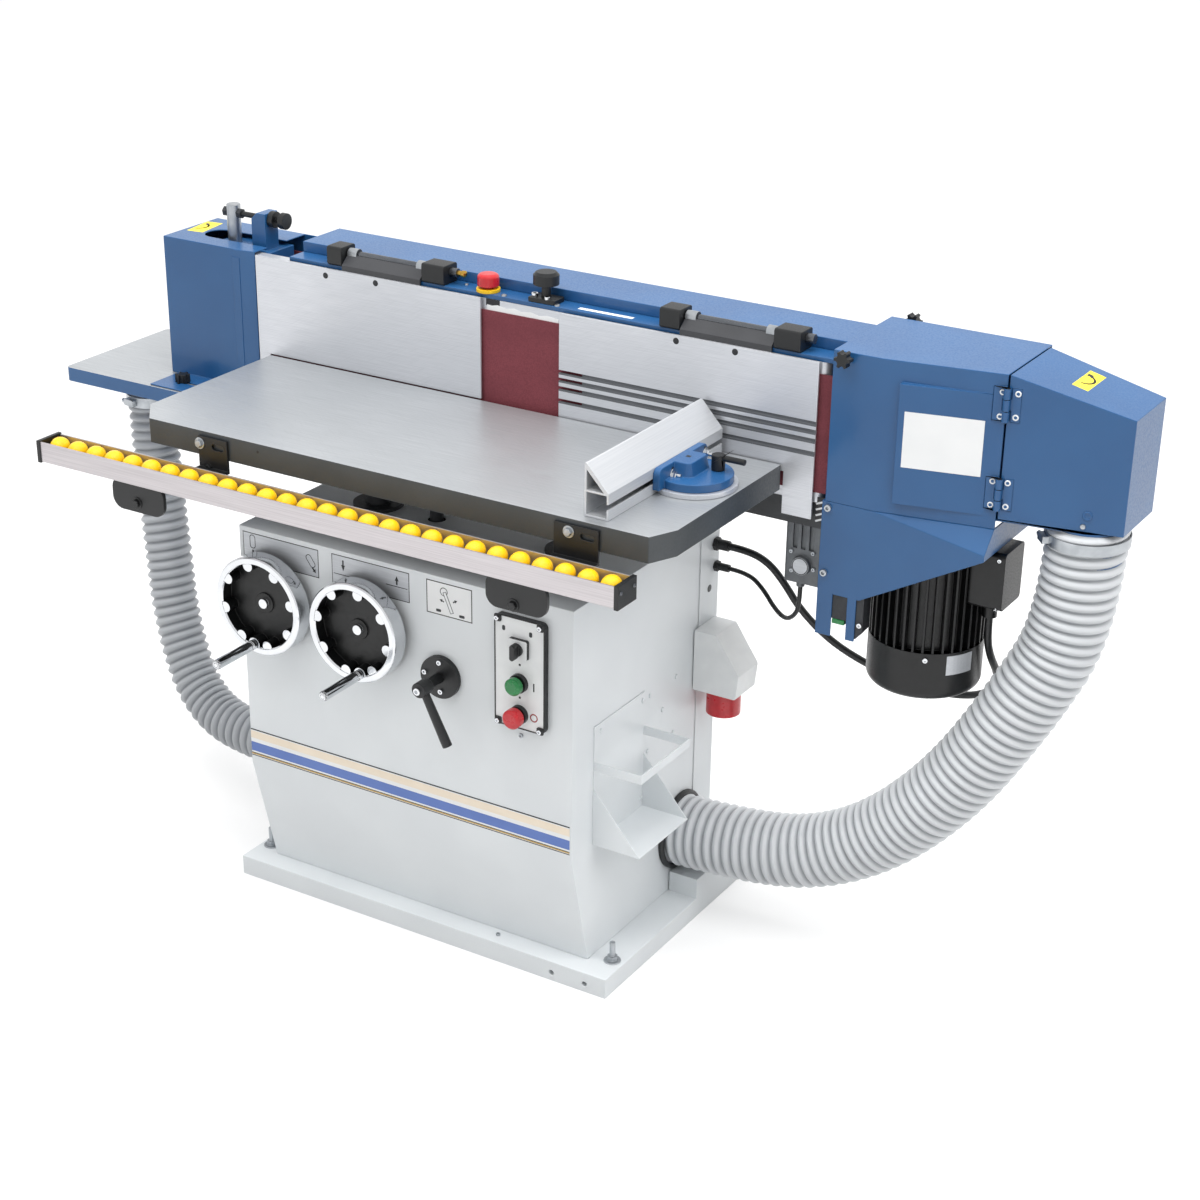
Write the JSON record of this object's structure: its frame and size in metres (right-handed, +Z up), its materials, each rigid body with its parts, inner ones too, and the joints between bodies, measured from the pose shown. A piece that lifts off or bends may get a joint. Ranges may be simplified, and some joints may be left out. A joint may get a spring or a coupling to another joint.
{
  "type": "edge belt sander",
  "caption": "Floor-standing belt sanding machine with an upright belt unit that tilts, a rising table with roller rail and stop fence, handwheels and ribbed dust hoses",
  "frame": {"origin": "On the floor under the middle of the base plinth", "axes": "+X to the right along the belt, +Y to the back away from the operator, +Z up"},
  "size_m": [2.046, 0.7183, 1.146],
  "materials": {
    "plinth_paint": "light grey satin paint",
    "cabinet_paint": "light grey sheet paint",
    "blue_paint": "blue textured paint",
    "dark_paint": "dark grey paint",
    "zinc": "zinc plated steel",
    "ground_steel": "ground steel",
    "chrome": "polished chrome",
    "cast_iron": "planed cast iron",
    "dark_iron": "dark cast iron",
    "aluminium": "mill aluminium",
    "black_plastic": "black moulded plastic",
    "white_plastic": "white moulded plastic",
    "yellow_plastic": "yellow rollers",
    "yellow_ring": "yellow ring",
    "red_plastic": "red plastic",
    "green_plastic": "green plastic",
    "abrasive": "red-brown abrasive cloth",
    "hose_grey": "grey ribbed hose",
    "cable_black": "black cable sheath",
    "motor_paint": "black painted motor housing"
  },
  "bodies": {
    "stand": {"base_plinth": "plinth_paint", "cabinet": "cabinet_paint", "dust_manifold": "zinc", "tool_tray": "cabinet_paint", "inlet_housing": "white_plastic", "inlet_collar": "red_plastic", "cable_glands": "black_plastic", "control_box": "black_plastic", "front_bearings": "black_plastic", "lift_guides": "dark_iron", "trunnions": "dark_iron", "hose_right": "hose_grey", "hose_left": "hose_grey", "cable_motor": "cable_black", "cable_oscillator": "cable_black"},
    "tilt_wheel": {"tilt_wheel": "chrome"},
    "tilt_grip": {"tilt_grip": "chrome"},
    "lift_wheel": {"lift_wheel": "chrome"},
    "lift_grip": {"lift_grip": "chrome"},
    "clamp_lever": {"clamp_lever": "black_plastic"},
    "switch_knob": {"switch_knob": "black_plastic"},
    "start_button": {"start_button": "green_plastic"},
    "stop_button": {"stop_button": "red_plastic"},
    "table": {"table_top": "cast_iron", "table_lift": "dark_paint", "rail_brackets": "dark_paint", "roller_rail": "aluminium", "rollers": "yellow_plastic", "rail_trim": "black_plastic"},
    "fence": {"stop_fence": "aluminium", "gauge_body": "blue_paint", "gauge_disc": "ground_steel"},
    "gauge_lever": {"gauge_lever": "black_plastic"},
    "unit": {"unit_beam": "dark_paint", "platen": "ground_steel", "top_plate": "blue_paint", "back_cover": "blue_paint", "drum_housing": "blue_paint", "suction_tray": "blue_paint", "motor_shroud": "blue_paint", "oscillator": "aluminium", "side_table": "blue_paint", "hinge_blocks": "black_plastic", "hinge_rods": "ground_steel", "right_cover": "ground_steel", "estop_base": "yellow_ring", "housing_knobs": "black_plastic"},
    "left_cover": {"left_cover": "ground_steel"},
    "end_hood": {"end_hood": "blue_paint"},
    "idler_guard": {"idler_guard": "blue_paint"},
    "guard_knob": {"guard_knob": "black_plastic"},
    "tension_knob": {"tension_knob": "black_plastic"},
    "estop_head": {"estop_head": "red_plastic"},
    "carriage": {"carriage": "blue_paint", "motor": "motor_paint", "belt": "abrasive", "tracking_post": "ground_steel"},
    "drive_drum": {"drive_drum": "ground_steel"},
    "idler_drum": {"idler_drum": "ground_steel"},
    "tracking_knob": {"tracking_knob": "black_plastic"}
  },
  "joints": [
    {"name": "tilt", "type": "hinge", "parent": "stand", "child": "unit", "pos_m": [0, 0.205, 0.79], "axis": [-1, 0, 0], "range_deg": [0, 90], "deforming": ["hose_right", "hose_left", "cable_motor", "cable_oscillator"]},
    {"name": "tilt_wheel_turn", "type": "hinge", "parent": "stand", "child": "tilt_wheel", "pos_m": [-0.276, -0.298, 0.595], "axis": [0, 1, 0], "range_deg": [0, 1800]},
    {"name": "tilt_grip_spin", "type": "hinge", "parent": "tilt_wheel", "child": "tilt_grip", "pos_m": [-0.28758, -0.37, 0.52191], "axis": [0, 1, 0], "continuous": true},
    {"name": "table_lift", "type": "slide", "parent": "stand", "child": "table", "axis": [0, 0, 1], "range_m": [-0.095, 0]},
    {"name": "lift_wheel_turn", "type": "hinge", "parent": "stand", "child": "lift_wheel", "pos_m": [-0.075, -0.298, 0.595], "axis": [0, 1, 0], "range_deg": [-1710, 0]},
    {"name": "lift_grip_spin", "type": "hinge", "parent": "lift_wheel", "child": "lift_grip", "pos_m": [-0.06088, -0.37, 0.52236], "axis": [0, 1, 0], "continuous": true},
    {"name": "clamp_turn", "type": "hinge", "parent": "stand", "child": "clamp_lever", "pos_m": [0.078, -0.33, 0.538], "axis": [0, 1, 0], "range_deg": [-40, 40]},
    {"name": "switch_turn", "type": "hinge", "parent": "stand", "child": "switch_knob", "pos_m": [0.24, -0.29, 0.634], "axis": [0, 1, 0], "range_deg": [0, 90]},
    {"name": "start_push", "type": "slide", "parent": "stand", "child": "start_button", "axis": [0, 1, 0], "range_m": [0, 0.004], "stiffness_N_per_m": 500},
    {"name": "stop_push", "type": "slide", "parent": "stand", "child": "stop_button", "axis": [0, 1, 0], "range_m": [0, 0.004], "stiffness_N_per_m": 500},
    {"name": "fence_swing", "type": "hinge", "parent": "table", "child": "fence", "pos_m": [0.445, -0.088, 0.902], "axis": [0, 0, 1], "range_deg": [0, 45]},
    {"name": "gauge_clamp", "type": "hinge", "parent": "fence", "child": "gauge_lever", "pos_m": [0.474, -0.062, 0.93], "axis": [0, 0, 1], "range_deg": [-45, 45]},
    {"name": "left_cover_flip", "type": "hinge", "parent": "unit", "child": "left_cover", "pos_m": [-0.28, 0.103, 1.106], "axis": [-1, 0, 0], "range_deg": [0, 95]},
    {"name": "hood_open", "type": "hinge", "parent": "unit", "child": "end_hood", "pos_m": [0.88642, 0.09082, 0.99], "axis": [0, 0, -1], "range_deg": [0, 110]},
    {"name": "guard_slide", "type": "slide", "parent": "unit", "child": "idler_guard", "axis": [-1, 0, 0], "range_m": [0, 0.15]},
    {"name": "guard_knob_turn", "type": "hinge", "parent": "unit", "child": "guard_knob", "pos_m": [-0.712, 0.026, 0.83], "axis": [0, 0, 1], "continuous": true},
    {"name": "tension_turn", "type": "hinge", "parent": "unit", "child": "tension_knob", "pos_m": [0.046, 0.101, 1.12], "axis": [0, 0, 1], "continuous": true},
    {"name": "estop_push", "type": "slide", "parent": "unit", "child": "estop_head", "axis": [0, 0, -1], "range_m": [0, 0.004]},
    {"name": "oscillation", "type": "slide", "parent": "unit", "child": "carriage", "axis": [0, 0, 1], "range_m": [-0.003, 0.003]},
    {"name": "drive_spin", "type": "hinge", "parent": "carriage", "child": "drive_drum", "pos_m": [0.756, 0.165, 0.958], "axis": [0, 0, 1], "continuous": true},
    {"name": "idler_spin", "type": "hinge", "parent": "carriage", "child": "idler_drum", "pos_m": [-0.662, 0.1395, 0.958], "axis": [0, 0, 1], "continuous": true},
    {"name": "tracking_turn", "type": "hinge", "parent": "carriage", "child": "tracking_knob", "pos_m": [-0.56, 0.1395, 1.13], "axis": [1, 0, 0], "continuous": true}
  ],
  "couplings": [
    {"joint": "tilt_wheel_turn", "follows": "tilt", "ratio": 20},
    {"joint": "lift_wheel_turn", "follows": "table_lift", "rad_per_m": 314.16},
    {"joint": "idler_spin", "follows": "drive_spin", "ratio": 1}
  ]
}
